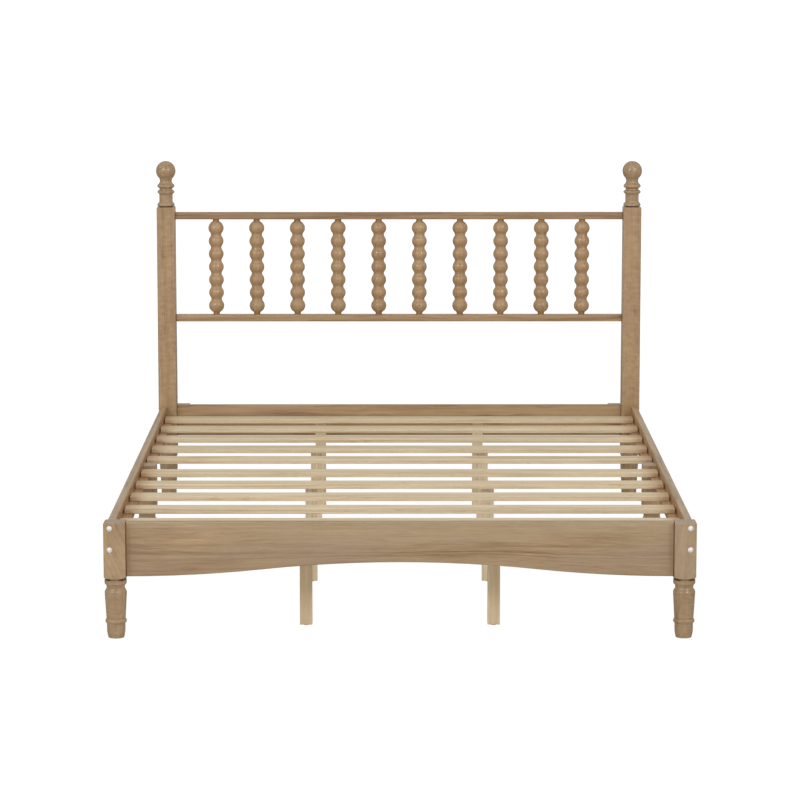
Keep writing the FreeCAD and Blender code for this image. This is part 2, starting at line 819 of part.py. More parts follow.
def make_corner_blocks():
    blocks = []
    spans = (size.corner_block_width, size.corner_block_depth, size.head_rail_height)
    for side in SIDES.values():
        inner = post_inner - size.corner_block_width
        corner = (low_corner(side, inner, size.corner_block_width), head_rail_back, head_rail_bottom)
        blank = board("corner_block_blank", spans, corner, size.board_edge_radius, "z")
        block = doc.addObject("Part::Cut", "corner_block")
        block.Base = blank
        seats = [
            piece
            for spot in block_screw_spots()
            if spot[0].value * side > 0
            for piece in screw_seat(spot, "-y", size.corner_block_depth + size.cut_overrun)
        ]
        block.Tool = fused("corner_block_seats", seats)
        blocks.append(block)
    keep_group("head_corner_blocks", blocks)


def ledger_ends(end):
    """Where a ledger starts along the bed, and its length."""
    near = size.post_width / 2 + size.ledger_end_gap
    far = half_clear_length - size.ledger_end_gap
    return low_corner(end, near, far - near), far - near


def ledger_screw_spots(side, end):
    """Heads of the screws through a ledger, half way between its slats."""
    first = size.slat_middle_gap / 2 + slat_pitch / 2
    height = slat_bottom - size.ledger_height / 2
    places = [first + slat_pitch * index for index in range(SLATS_PER_HALF - 1)]
    return [(ledger_inner * side, y * end, height) for y in places]


def slat_numbers(end):
    first = 1 if end > 0 else SLATS_PER_HALF + 1
    return range(first, first + SLATS_PER_HALF)


def make_side_rails():
    spans = (size.side_rail_thickness, half_clear_length * 2, size.side_rail_height)
    reach = size.bolt_nut_reach + size.bolt_tip_length
    nut_bore = size.nut_diameter + size.fit_play
    nut_depth = (size.side_rail_thickness + size.nut_length) / 2
    for side_name, side in SIDES.items():
        name = f"side_rail_{side_name}"
        x = low_corner(side, side_rail_inner, size.side_rail_thickness)
        corner = (x, -half_clear_length, side_rail_bottom)
        blank = board(name + "_blank", spans, corner, size.rail_edge_radius, "y")
        bores = []
        for end in ENDS.values():
            for height in bolt_heights:
                face = (bolt_x * side, half_clear_length * end, height)
                bores.append(bore(bolt_bore, reach + size.bolt_play, face, inward(end, "y")))
                nut_face = (side_rail_inner * side, nut_y * end, height)
                bores.append(bore(nut_bore, nut_depth + size.fit_play, nut_face, outward(side, "x")))
            for spot in ledger_screw_spots(side, end):
                bores.append(pilot(spot, outward(side, "x"), size.frame_screw_length))
        for height in mid_bolt_heights:
            face = (side_rail_inner * side, 0, height)
            bores.append(spigot_bore(size.bolt_diameter, size.mid_bolt_reach, face, outward(side, "x")))
        keep_drilled(name, blank, bores)


def make_ledgers():
    for side_name, side in SIDES.items():
        for end_name, end in ENDS.items():
            start, length = ledger_ends(end)
            spans = (size.ledger_width, length, size.ledger_height)
            corner = (low_corner(side, ledger_inner, size.ledger_width), start, ledger_bottom)
            name = f"slat_ledger_{end_name}_{side_name}"
            blank = board(name + "_blank", spans, corner, size.board_edge_radius, "y")
            bores = []
            for spot in ledger_screw_spots(side, end):
                bores += screw_seat(spot, outward(side, "x"), size.ledger_width + size.cut_overrun)
            for number in slat_numbers(end):
                head = (slat_screw_x * side, slat_middle(number), ledger_bottom)
                bores += screw_seat(head, "+z", size.ledger_height + size.cut_overrun)
            keep_drilled(name, blank, bores)


def make_slats():
    """The slats, each held by a screw up through each ledger."""
    reach = side_rail_inner - size.slat_end_play
    spans = (reach * 2, size.slat_width, size.slat_thickness)
    screws = []
    for number in range(1, SLATS_PER_HALF * 2 + 1):
        corner = (-reach, slat_middle(number) - size.slat_width / 2, slat_bottom)
        name = f"slat_{number:02d}"
        blank = board(name + "_blank", spans, corner, size.board_edge_radius, "x")
        bores = []
        for side in SIDES.values():
            head = (slat_screw_x * side, slat_middle(number), ledger_bottom)
            bores.append(pilot(head, "+z", slat_screw_length))
            screws.append(screw(slat_screw_length, head, "+z"))
            if number in supported_slats:
                joint = (size.support_leg_spacing / 2 * side, support_leg_middle(number), slat_bottom)
                bores.append(bore(dowel_bore, size.leg_dowel_slat_depth + size.fit_play, joint, "+z"))
        keep_drilled(name, blank, bores)
    keep_group("slat_screws", screws)


def make_support_legs():
    width = size.support_leg_width
    spans = (width, width, slat_bottom - size.glide_thickness)
    glides = []
    for number in supported_slats:
        for side_name, side in SIDES.items():
            x = size.support_leg_spacing / 2 * side
            y = support_leg_middle(number)
            corner = (x - width / 2, y - width / 2, size.glide_thickness)
            name = f"support_leg_slat_{number:02d}_{side_name}"
            blank = board(name + "_blank", spans, corner, size.board_edge_radius, "z")
            foot = (x, y, size.glide_thickness)
            bores = [spigot_bore(size.glide_pin_diameter, size.glide_pin_length, foot, "+z")]
            bores.append(bore(dowel_bore, leg_dowel_depth + size.cut_overrun, (x, y, slat_bottom), "-z"))
            keep_drilled(name, blank, bores)
            glide = Profile(size.glide_diameter).climb(size.glide_diameter, size.glide_thickness)
            glide.step(size.glide_pin_diameter).climb(size.glide_pin_diameter, size.glide_pin_length)
            glides.append(turned("glide", glide.close(), (x, y, 0)))
    keep_group("support_leg_glides", glides)


def make_bolts_and_nuts():
    bolts = []
    nuts = []
    for side, end, spot in rail_bolt_spots():
        bolts.append(bolt(bolt_length, spot, inward(end, "y")))
        nut_start = ((bolt_x - size.nut_length / 2) * side, nut_y * end, spot[2])
        barrel = rod("nut_barrel", size.nut_diameter, size.nut_length, nut_start, outward(side, "x"))
        nut = doc.addObject("Part::Cut", "barrel_nut")
        nut.Base = barrel
        face = (spot[0], (nut_y + size.nut_diameter / 2) * end, spot[2])
        through = size.nut_diameter + size.cut_overrun
        nut.Tool = bore(size.bolt_diameter + size.fit_play, through, face, inward(end, "y"))
        nuts.append(nut)
    keep_group("side_rail_bolts", bolts)
    keep_group("barrel_nuts", nuts)
    length = side_rail_inner - mid_post_inner + size.mid_bolt_reach
    mid_bolts = [
        bolt(length, (mid_post_inner * side, 0, height), outward(side, "x"))
        for side in SIDES.values()
        for height in mid_bolt_heights
    ]
    keep_group("mid_post_bolts", mid_bolts)


def make_dowels_and_screws():
    dowels = []
    for side in SIDES.values():
        axis = outward(side, "x")
        for y, z in foot_rail_dowels + head_rail_dowels + top_rail_dowels + lower_rail_dowels:
            start = ((post_inner - dowel_half) * side, y, z)
            dowels.append(rod("dowel", size.dowel_diameter, size.dowel_length, start, axis))
        for number in supported_slats:
            x = size.support_leg_spacing / 2 * side
            start = (x, support_leg_middle(number), slat_bottom - leg_dowel_depth)
            dowels.append(rod("dowel", size.dowel_diameter, size.dowel_length, start, "+z"))
    keep_group("dowels", dowels)
    screws = [
        screw(size.frame_screw_length, spot, outward(side, "x"))
        for side in SIDES.values()
        for end in ENDS.values()
        for spot in ledger_screw_spots(side, end)
    ]
    screws += [screw(size.frame_screw_length, spot, "-y") for spot in block_screw_spots()]
    keep_group("ledger_and_block_screws", screws)


make_corner_posts()
make_mid_posts()
make_foot_rail()
make_head_rails()
make_spindles()
make_corner_blocks()
make_side_rails()
make_ledgers()
make_slats()
make_support_legs()
make_bolts_and_nuts()
make_dowels_and_screws()
doc.recompute()

for item in doc.Objects:
    if {"Invalid", "Error"} & set(item.State):
        raise RuntimeError(f"{item.Label} failed: {item.State}")
shapes = {name: Part.getShape(node) for name, node in nodes.items()}
for name, shape in shapes.items():
    if shape.isNull() or not shape.isValid():
        raise RuntimeError(f"{name} has no valid shape")

os.makedirs("parts", exist_ok=True)
for name, shape in shapes.items():
    shape.exportStep(f"parts/{name}.step")
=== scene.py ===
import math
import random

import bpy
from bpy.props import FloatProperty, FloatVectorProperty, PointerProperty
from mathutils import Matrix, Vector


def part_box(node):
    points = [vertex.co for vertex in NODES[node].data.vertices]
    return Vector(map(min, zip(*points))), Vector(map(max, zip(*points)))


bl_info = {
    "name": "Platform Bed Finish",
    "version": (1, 0, 0),
    "blender": (4, 5, 0),
    "location": "3D View > Sidebar > Bed",
    "description": "Stains, lacquers and lights a platform bed with a beaded-spindle headboard",
    "category": "Object",
}

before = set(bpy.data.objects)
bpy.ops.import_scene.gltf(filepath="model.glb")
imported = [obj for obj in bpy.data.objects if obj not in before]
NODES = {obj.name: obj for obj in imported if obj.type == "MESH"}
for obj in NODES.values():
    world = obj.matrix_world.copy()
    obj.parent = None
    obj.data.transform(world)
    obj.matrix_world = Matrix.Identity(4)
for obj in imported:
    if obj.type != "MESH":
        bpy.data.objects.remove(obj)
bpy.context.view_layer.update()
MM = 0.001
WHITE = (1.0, 1.0, 1.0, 1.0)


def srgb(red, green, blue):
    """A colour as a screen shows it, 0 to 255, turned into the linear values that shaders use."""
    def linear(level):
        shown = level / 255
        return shown / 12.92 if shown <= 0.04045 else ((shown + 0.055) / 1.055) ** 2.4

    return linear(red), linear(green), linear(blue)


def colour(name, description, shown):
    return FloatVectorProperty(
        name=name, description=description, default=srgb(*shown), subtype="COLOR", min=0, max=1
    )


def length(name, description, metres):
    return FloatProperty(
        name=name, description=description, default=metres, unit="LENGTH", precision=4
    )


def share(name, description, default):
    return FloatProperty(name=name, description=description, default=default, subtype="FACTOR")


def angle(name, description, degrees):
    return FloatProperty(
        name=name, description=description, default=math.radians(degrees), subtype="ANGLE"
    )


def power(name, description, watts):
    return FloatProperty(name=name, description=description, default=watts, unit="POWER")


class StainedOakLook(bpy.types.PropertyGroup):
    # Light wood is also laid as painted light in the middle of the grooves atop the legs.
    light: colour("Light wood", "Stained wood between the growth rings", (180, 153, 115))
    # Late wood is also laid as painted shade on the side rails' inner faces.
    dark: colour("Late wood", "Stained wood at the dark edge of a growth ring", (117, 87, 57))
    grey: colour("Grey cast", "Cool cast that the stain leaves in patches", (158, 139, 114))
    pore: colour("Pores", "Stain settled in the open pores", (86, 56, 32))
    # The deep stain colour is laid only as painted shade: in grooves and joints, at the foot of posts
    # and finials, at the spindles' necks and along the foot rail's lower edge.
    stain: colour("Deep stain", "Stain settled in grooves and joints", (98, 56, 22))
    # The warm colour is a real warm tint on some pieces, and painted shade beside the posts and on the
    # side rails' inner faces.
    warm: colour("Warm stain", "Thick stain on the faces that were not rubbed down", (184, 134, 84))
    ring_width: length("Ring width", "Usual width of one growth ring", 17 * MM)
    wander: length("Wander", "How far the rings wander along the grain", 22 * MM)
    streak_share: share("Streaks", "Depth of the growth rings in the colour", 0.55)
    band_share: share("Bands", "Depth of the long soft bands in the colour", 0.5)
    dash_share: share("Dashes", "Depth of the short thin dashes in the colour", 0.4)
    fibre_share: share("Fibres", "Depth of the fine fibres in the colour", 0.3)
    patch_share: share("Patches", "Depth of the broad light and dark patches", 0.3)
    grey_share: share("Grey", "How much of the grey cast shows", 0.5)
    pore_share: share("Pores", "How dark the pores are", 0.3)
    roughness: share("Roughness", "Roughness of the wood under its lacquer", 0.42)
    relief: length("Relief", "Depth of the grain under the lacquer", 0.25 * MM)


class PaleSlatPineLook(bpy.types.PropertyGroup):
    # Light pine is also laid as painted light on the supports near the floor.
    light: colour("Light wood", "Bare pine between the growth rings", (226, 208, 176))
    dark: colour("Late wood", "Bare pine at the dark edge of a growth ring", (180, 154, 115))
    grey: colour("Grey cast", "Cool cast of the planed face", (196, 183, 157))
    # The pitch colour is also laid as painted shade on the front supports.
    pore: colour("Pitch", "Fine resin lines and the rims of knots", (140, 106, 72))
    # The warm colour is laid only as painted shade, on the slat ends beside the side rails.
    warm: colour("Warm stain", "Stain rubbed off the rails on to the ends", (160, 120, 78))
    ring_width: length("Ring width", "Usual width of one growth ring", 7 * MM)
    wander: length("Wander", "How far the rings wander along the grain", 14 * MM)
    streak_share: share("Streaks", "Depth of the growth rings in the colour", 0.55)
    band_share: share("Bands", "Depth of the long soft bands in the colour", 0.45)
    dash_share: share("Dashes", "Depth of the short thin dashes in the colour", 0.3)
    fibre_share: share("Fibres", "Depth of the fine fibres in the colour", 0.25)
    patch_share: share("Patches", "Depth of the broad light and dark patches", 0.3)
    grey_share: share("Grey", "How much of the grey cast shows", 0.35)
    pore_share: share("Pitch", "How dark the resin lines are", 0.3)
    roughness: share("Roughness", "Roughness of the planed wood", 0.58)
    relief: length("Relief", "Depth of the grain on the planed face", 0.2 * MM)


class DowelBeechLook(bpy.types.PropertyGroup):
    light: colour("Light wood", "Beech between its flecks", (214, 178, 138))
    dark: colour("Flecks", "Beech at its short dark flecks", (170, 124, 84))
    grey: colour("Grey cast", "Cool cast of the dry wood", (204, 178, 148))
    pore: colour("Pores", "Fine pores of the beech", (140, 98, 62))
    ring_width: length("Ring width", "Usual width of one growth ring", 2.5 * MM)
    wander: length("Wander", "How far the rings wander along the grain", 4 * MM)
    streak_share: share("Streaks", "Depth of the growth rings in the colour", 0.4)
    band_share: share("Bands", "Depth of the long soft bands in the colour", 0.1)
    dash_share: share("Dashes", "Depth of the short thin dashes in the colour", 0.3)
    fibre_share: share("Fibres", "Depth of the fine fibres in the colour", 0.3)
    patch_share: share("Patches", "Depth of the broad light and dark patches", 0.2)
    grey_share: share("Grey", "How much of the grey cast shows", 0.3)
    pore_share: share("Pores", "How dark the pores are", 0.6)
    roughness: share("Roughness", "Roughness of the dry wood", 0.65)
    relief: length("Relief", "Depth of the grain", 0.15 * MM)


class HardwareLook(bpy.types.PropertyGroup):
    zinc: colour("Zinc", "Bright zinc plate on bolts, nuts and screws", (240, 235, 227))
    dull: colour("Dull zinc", "Zinc where it has lost its brightness", (206, 202, 196))
    zinc_metal: share("Zinc metal", "How metallic the plate shows under its clear finish", 0.35)
    zinc_roughness: share("Zinc roughness", "Roughness of the plate", 0.55)
    zinc_relief: length("Zinc relief", "Depth of the specks in the plate", 0.05 * MM)
    glide: colour("Glide", "Moulded plastic of the floor glides", (126, 104, 82))
    glide_roughness: share("Glide roughness", "Roughness of the plastic", 0.5)
    glide_relief: length("Glide relief", "Depth of the grit moulded in the plastic", 0.08 * MM)


class StageLook(bpy.types.PropertyGroup):
    floor: colour("Floor", "Plain white floor", (255, 255, 255))
    floor_bounce: share("Floor bounce", "Share of the light that the floor sends back up", 0.95)
    floor_span: length("Floor span", "Length of each side of the floor", 14)
    eye: FloatVectorProperty(
        name="Eye",
        description="Where the camera stands",
        default=(-0.0135, -9.73805, 1.9646),
        subtype="TRANSLATION",
        unit="LENGTH",
        precision=4,
    )
    pitch: angle("Pitch", "How far the camera looks down", 8.5823)
    heading: angle("Heading", "How far the camera turns towards +X", 0.0889)
    lens: FloatProperty(name="Lens", description="Focal length", default=146.436, unit="CAMERA")
    fill: FloatProperty(name="Fill", description="White light from all around", default=0.66)
    sheen: FloatProperty(
        name="Sheen", description="Brightness of the white walls that glossy faces mirror", default=0.42
    )
    overhead: power("Overhead", "Power of the softbox over the bed", 84)
    front: power("Front", "Power of the low softbox in front", 90)
    side: power("Side", "Power of each softbox to the sides", 130)
    glint: power("Glint", "Power of each window that glints in the lacquer", 240)


class Value:
    """A socket in a set of nodes; arithmetic on it adds Math nodes."""

    def __init__(self, finish, socket):
        self.finish = finish
        self.socket = socket

    def beside(self, output):
        """Another output of the same node."""
        return Value(self.finish, self.socket.node.outputs[output])

    def math(self, operation, *operands):
        sockets = dict(enumerate(operands))
        return self.finish.node("ShaderNodeMath", {"operation": operation}, sockets)

    def __add__(self, other):
        return self.math("ADD", self, other)

    def __radd__(self, other):
        return self.math("ADD", other, self)

    def __sub__(self, other):
        return self.math("SUBTRACT", self, other)

    def __rsub__(self, other):
        return self.math("SUBTRACT", other, self)

    def __mul__(self, other):
        return self.math("MULTIPLY", self, other)

    def __rmul__(self, other):
        return self.math("MULTIPLY", other, self)

    def __truediv__(self, other):
        return self.math("DIVIDE", self, other)

    def __rtruediv__(self, other):
        return self.math("DIVIDE", other, self)

    def root(self):
        return self.math("SQRT", self)

    def fraction(self):
        return self.math("FRACT", self)

    def whole(self):
        return self.math("FLOOR", self)

    def cosine(self):
        return self.math("COSINE", self)

    def size(self):
        return self.math("ABSOLUTE", self)

    def about_zero(self):
        """A noise from 0 to 1, moved so that it swings about 0."""
        return self - 0.5

    def kept(self):
        """Held between 0 and 1."""
        return self.finish.node("ShaderNodeClamp", {}, {"Value": self})

    def eased(self, start, full):
        """A smooth rise from 0 at the start to 1 where it is full."""
        sockets = {"Value": self, "From Min": start, "From Max": full}
        return self.finish.node("ShaderNodeMapRange", {"interpolation_type": "SMOOTHSTEP"}, sockets)


def distance(first, second):
    """How far off a point is that lies this far away in two directions at right angles."""
    return (first * first + second * second).root()


# Sockets of a Mix node that mixes colours
MIX_FACTOR = 0
MIX_FIRST = 6
MIX_SECOND = 7
MIX_RESULT = 2


class Finish:
    """The nodes of one material, or of the world."""

    def __init__(self, owner):
        owner.use_nodes = True
        self.owner = owner
        self.tree = owner.node_tree
        self.tree.nodes.clear()

    def node(self, kind, settings, sockets, output=0):
        """Add a node: its settings first, then the values or links of its sockets."""
        item = self.tree.nodes.new(kind)
        for name, setting in settings.items():
            setattr(item, name, setting)
        for name, value in sockets.items():
            if isinstance(value, Value):
                self.tree.links.new(value.socket, item.inputs[name])
            else:
                item.inputs[name].default_value = value
        return Value(self, item.outputs[output])

    def spot(self):
        """The point in the shared frame."""
        return self.node("ShaderNodeTexCoord", {}, {}, "Object")

    def place(self):
        """X, Y and Z of the point in the shared frame."""
        x = self.node("ShaderNodeSeparateXYZ", {}, {"Vector": self.spot()}, "X")
        return x, x.beside("Y"), x.beside("Z")

    def vector(self, x, y, z):
        return self.node("ShaderNodeCombineXYZ", {}, {"X": x, "Y": y, "Z": z})

    def noise(self, vector, detail=2.0, roughness=0.5, scale=1.0):
        sockets = {"Vector": vector, "Scale": scale, "Detail": detail, "Roughness": roughness}
        return self.node("ShaderNodeTexNoise", {"noise_dimensions": "3D"}, sockets, "Fac")

    def chance(self, value):
        """A number from 0 to 1 that jumps with the value."""
        settings = {"noise_dimensions": "1D"}
        return self.node("ShaderNodeTexWhiteNoise", settings, {"W": value}, "Value")

    def blend(self, factor, first, second):
        """A colour between two colours."""
        sockets = {MIX_FACTOR: factor, MIX_FIRST: opaque(first), MIX_SECOND: opaque(second)}
        settings = {"data_type": "RGBA", "clamp_factor": True}
        return self.node("ShaderNodeMix", settings, sockets, MIX_RESULT)

    def bump(self, height, depth, strength):
        sockets = {"Height": height, "Distance": depth, "Strength": strength}
        return self.node("ShaderNodeBump", {}, sockets, "Normal")

    def mixed(self, factor, first, second):
        """A shader between two shaders."""
        return self.node("ShaderNodeMixShader", {}, {0: factor, 1: first, 2: second})

    def output(self, kind, shader):
        """Link the shader to an output node; gives back the material or world."""
        item = self.tree.nodes.new(kind)
        self.tree.links.new(shader.socket, item.inputs["Surface"])
        return self.owner

    def surface(self, sockets):
        shader = self.node("ShaderNodeBsdfPrincipled", {}, sockets)
        return self.output("ShaderNodeOutputMaterial", shader)


def opaque(tint):
    """A colour's three numbers with full alpha; links pass as they are."""
    return tint if isinstance(tint, Value) else (*tint[:3], 1.0)


def dimmed(tint, kept_share):
    """A darker colour, with full alpha."""
    return (*(level * kept_share for level in tint), 1.0)


def low(name):
    """The corner of a node's box with the least X, Y and Z."""
    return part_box(name)[0]


def high(name):
    """The corner of a node's box with the greatest X, Y and Z."""
    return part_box(name)[1]


def middle(name):
    return (low(name) + high(name)) / 2


# What is drawn by lot for each piece: metres along the log, tone, seed, and millimetres to the pith
LOG_LENGTH = 40
TONE_SPREAD = 0.05
SEEDS = 500
PITH_DEPTHS = (55, 110)
PITH_ASIDE = 45


class Grain:
    """How one piece was cut from its log, turned and stained, and where painted shade and light lie on
    it.

    The order names the axes along the grain, across it and through the piece.
    """

    def __init__(
        self, name, order, pith=None, knots=(), follow=None, calm=1.0, slant=0.0, tone=0.0,
        lathe=0.0, cast=1.0, stains_and_shade=(), flecks=(), dashes=(1.0, ()),
    ):
        draw = random.Random(name)
        self.order = order
        self.centre = middle(name)
        self.start = draw.uniform(0, LOG_LENGTH)
        self.tone = tone + draw.uniform(-TONE_SPREAD, TONE_SPREAD)
        self.seed = draw.uniform(0, SEEDS)
        reach = draw.uniform(*PITH_DEPTHS) * MM
        if pith is None:
            aside = draw.uniform(-PITH_ASIDE, PITH_ASIDE) * MM
            pith = (aside, reach * draw.choice((-1, 1)))
        self.pith = pith
        self.knots = knots
        self.follow = follow
        self.calm = calm
        self.slant = slant
        self.lathe = lathe
        self.cast = cast
        self.stains_and_shade = stains_and_shade
        self.flecks = flecks
        self.dashes = dashes


class Board:
    """Where a point lies in one piece of wood: along its grain, across it and through it."""

    def __init__(self, finish, grain, spots):
        along, across, through = (spots[axis] - getattr(grain.centre, axis) for axis in grain.order)
        if grain.follow:
            across = across - grain.follow(along, across)
        if grain.slant:
            cosine, sine = math.cos(grain.slant), math.sin(grain.slant)
            along, across = along * cosine + across * sine, across * cosine - along * sine
        self.finish = finish
        self.from_centre = along
        self.along = along + grain.start
        self.across = across
        self.through = through

    def noise(self, run, girth, detail=2.0, roughness=0.5, shift=0.0, aside=None):
        """Noise drawn out along the grain, with this many waves per metre along and across it."""
        along = self.along * run
        if shift:
            along = along + shift
        across = self.across if aside is None else self.across + aside
        vector = self.finish.vector(along, across * girth, self.through * girth)
        return self.finish.noise(vector, detail, roughness)


# Noises in the wood: waves per metre along the grain and across it, detail, roughness and shift
SWAY = (1.7, 5)
LEAN = (1.3, 5, 2.0, 0.5, 9)
RIPPLE = (14, 60)
BAND = (2.4, 105, 3.0, 0.55)
FIBRE = (9, 620, 3.0, 0.6)
GRIT = (60, 1500, 1.0)
WEAVE = (13, 20, 1.0)
DASH = (5, 170, 1.0)
PATCH = (5, 16, 4.0, 0.6)
CAST = (1.9, 8, 2.0, 0.5, 31)
LATHE_MARKS = (240, 0)

# Detail and roughness of the flecks
FLECK = (3.0, 0.6)

# Growth rings: how their width changes, and where in a ring the late wood rises and falls
RIPPLE_SHARE = 0.12
PACE_ACROSS = 34
PACE_ALONG = 0.5
PACE_TURNS = 5
LATE_RISE = (0.25, 0.8)
LATE_FALL = (0.82, 1.0)
FAINTEST_RING = 0.15

# Knots: how much longer than wide, then shares of a knot's radius, of a ring's width and of the colour
KNOT_STRETCH = 1.5
KNOT_SWIRL_SHARE = 3.2
KNOT_CORE_SHARE = 0.35
KNOT_PUSH_SHARE = 0.35
KNOT_SHADE = 0.15
KNOT_HEART = 0.3

# Where a noise turns into a mark, and how the marks change colour and face
PORE_EDGE = (0.6, 0.72)
PORES_CLOSED = 0.6
DASH_EDGE = (0.6, 0.68)
WEAVE_WIDTH = 14 * MM
CAST_EDGE = (0.35, 0.65)
BASE_DEPTH = 0.3
FIBRE_ROUGHNESS = 0.14
PORE_ROUGHNESS = 0.12
STREAK_HEIGHT = 0.35
FIBRE_HEIGHT = 0.4
PORE_HEIGHT = 0.6
RELIEF_STRENGTH = 0.5
LACQUER_ROUGHNESS = 0.15


def within(spots, amount, spans):
    """An amount that fades out of its spans; left and right, and head and foot, are alike."""
    for axis, clear, full in spans:
        amount = spots[axis].size().eased(clear, full) * amount
    return amount


def knots_in(board, grain):
    """How much the knots push the rings aside, and where their dark hearts are; 0 without knots."""
    pushes = []
    hearts = []
    for along, across, radius in grain.knots:
        far = distance((board.from_centre - along) / KNOT_STRETCH, board.across - across)
        pushes.append(1 - far.eased(0, radius * KNOT_SWIRL_SHARE))
        hearts.append(1 - far.eased(radius * KNOT_CORE_SHARE, radius))
    return sum(pushes), sum(hearts)


def growth_rings(board, look, grain, swirl):
    """The late wood of the rings about the pith, and how dark each ring shows."""
    finish = board.finish
    sway = board.noise(*SWAY).about_zero() * look.wander
    lean = board.noise(*LEAN).about_zero() * look.wander
    ripple = board.noise(*RIPPLE).about_zero() * (look.wander * RIPPLE_SHARE)
    beside = board.across - grain.pith[0] + sway + swirl * (look.ring_width * KNOT_PUSH_SHARE)
    behind = board.through - grain.pith[1] + lean + ripple
    radius = distance(beside, behind)
    slow = finish.vector(radius * PACE_ACROSS + grain.seed, board.along * PACE_ALONG, 0.0)
    turn = radius / look.ring_width + finish.noise(slow, 1.0) * PACE_TURNS
    ring = turn.fraction()
    late = ring.eased(*LATE_RISE) * (1 - ring.eased(*LATE_FALL))
    lot = finish.chance(turn.whole() + grain.seed)
    strength = lot * lot * (1 - FAINTEST_RING) + FAINTEST_RING
    return late, late * strength * grain.calm


def darkness(board, look, grain, spots):
    """How far bands, patches, dashes, tool marks and flecks take the colour towards late wood."""
    weave = board.noise(*WEAVE).about_zero() * WEAVE_WIDTH
    dash = within(spots, *grain.dashes) * board.noise(*DASH, aside=weave).eased(*DASH_EDGE)
    depth = (
        board.noise(*BAND).about_zero() * (2 * look.band_share * grain.calm)
        + board.noise(*PATCH).about_zero() * (2 * look.patch_share)
        + dash * (look.dash_share * grain.calm)
        + (BASE_DEPTH + grain.tone)
    )
    if grain.lathe:
        depth = depth + board.noise(*LATHE_MARKS).about_zero() * grain.lathe
    if grain.flecks:
        amount, run, girth = grain.flecks
        depth = depth + board.noise(run, girth, *FLECK).about_zero() * amount
    return depth


def wood(name, look, grain, coat=0.0):
    """Solid wood with growth rings, fibres, pores, patches, knots, settled stain, painted shade and
    light, and lacquer.
    """
    finish = Finish(bpy.data.materials.new(name))
    spots = dict(zip("xyz", finish.place()))
    board = Board(finish, grain, spots)
    swirl, heart = knots_in(board, grain)
    late, streak = growth_rings(board, look, grain, swirl)
    fibre = board.noise(*FIBRE)
    pores = board.noise(*GRIT).eased(*PORE_EDGE) * (1 - late * PORES_CLOSED)
    cast = board.noise(*CAST).eased(*CAST_EDGE)

    depth = (
        darkness(board, look, grain, spots)
        + streak * look.streak_share
        + fibre.about_zero() * (2 * look.fibre_share)
        + swirl * KNOT_SHADE
    )
    tint = finish.blend(depth.kept(), look.light, look.dark)
    tint = finish.blend(cast * (look.grey_share * grain.cast), tint, look.grey)
    tint = finish.blend(pores * look.pore_share, tint, look.pore)
    if grain.knots:
        tint = finish.blend(heart.kept() * KNOT_HEART, tint, look.pore)
    # Lay the settled stain, painted shade and painted light over the wood; where the deep stain colour
    # paints shade, the lacquer is left off.
    for amount, hue, spans in grain.stains_and_shade:
        held = within(spots, amount, spans)
        tint = finish.blend(held, tint, getattr(look, hue))
        if hue == "stain":
            coat = coat * (1 - held)

    rough = fibre.about_zero() * FIBRE_ROUGHNESS + pores * PORE_ROUGHNESS
    height = streak * STREAK_HEIGHT + fibre * FIBRE_HEIGHT - pores * PORE_HEIGHT
    return finish.surface(
        {
            "Base Color": tint,
            "Roughness": look.roughness + rough,
            "Normal": finish.bump(height, look.relief, RELIEF_STRENGTH),
            "Coat Weight": coat,
            "Coat Roughness": LACQUER_ROUGHNESS,
        }
    )


# Zinc and plastic: waves per metre, where the clouds show, and how far they change the face
ZINC_CLOUDS = 180
ZINC_CLOUD_EDGE = (0.35, 0.75)
ZINC_CLOUD_ROUGHNESS = 0.25
ZINC_SPECKS = 1400
ZINC_SPECK_STRENGTH = 0.4
GLIDE_CLOUDS = 90
GLIDE_CLOUD_EDGE = (0.3, 0.8)
GLIDE_WEAR = 0.8
GLIDE_GRIT = 1800
GLIDE_GRIT_ROUGHNESS = 0.2
GLIDE_GRIT_STRENGTH = 0.5
CLOUD_DETAIL = 3.0


def zinc_plate(name, look):
    """Bright zinc that has clouded in places."""
    finish = Finish(bpy.data.materials.new(name))
    cloud = finish.noise(finish.spot(), CLOUD_DETAIL, scale=ZINC_CLOUDS)
    speck = finish.noise(finish.spot(), scale=ZINC_SPECKS)
    return finish.surface(
        {
            "Base Color": finish.blend(cloud.eased(*ZINC_CLOUD_EDGE), look.zinc, look.dull),
            "Metallic": look.zinc_metal,
            "Roughness": look.zinc_roughness + cloud.about_zero() * ZINC_CLOUD_ROUGHNESS,
            "Normal": finish.bump(speck, look.zinc_relief, ZINC_SPECK_STRENGTH),
        }
    )


def glide_plastic(name, look):
    """Brown plastic with a fine moulded grit."""
    finish = Finish(bpy.data.materials.new(name))
    cloud = finish.noise(finish.spot(), CLOUD_DETAIL, scale=GLIDE_CLOUDS)
    grit = finish.noise(finish.spot(), scale=GLIDE_GRIT)
    worn = dimmed(look.glide, GLIDE_WEAR)
    return finish.surface(
        {
            "Base Color": finish.blend(cloud.eased(*GLIDE_CLOUD_EDGE), look.glide, worn),
            "Roughness": look.glide_roughness + grit.about_zero() * GLIDE_GRIT_ROUGHNESS,
            "Normal": finish.bump(grit, look.glide_relief, GLIDE_GRIT_STRENGTH),
        }
    )


def named(*starts):
    """The nodes whose names start with one of these, in order; an empty list is an error."""
    found = sorted(name for name in NODES if name.startswith(starts))
    if not found:
        raise RuntimeError(f"no node is named {starts}")
    return found


def side_of(name):
    """Left or right, as a node's name says."""
    return name.rsplit("_", 1)[1]


def dress(name, material):
    """Give a node this material all over."""
    for place in NODES[name].material_slots:
        place.material = material


def measured(*spans):
    """Spans in metres.

    Each is given as an axis, a place on it, and how many millimetres from there it is clear and full.
    """
    return [(axis, place + clear * MM, place + full * MM) for axis, place, clear, full in spans]


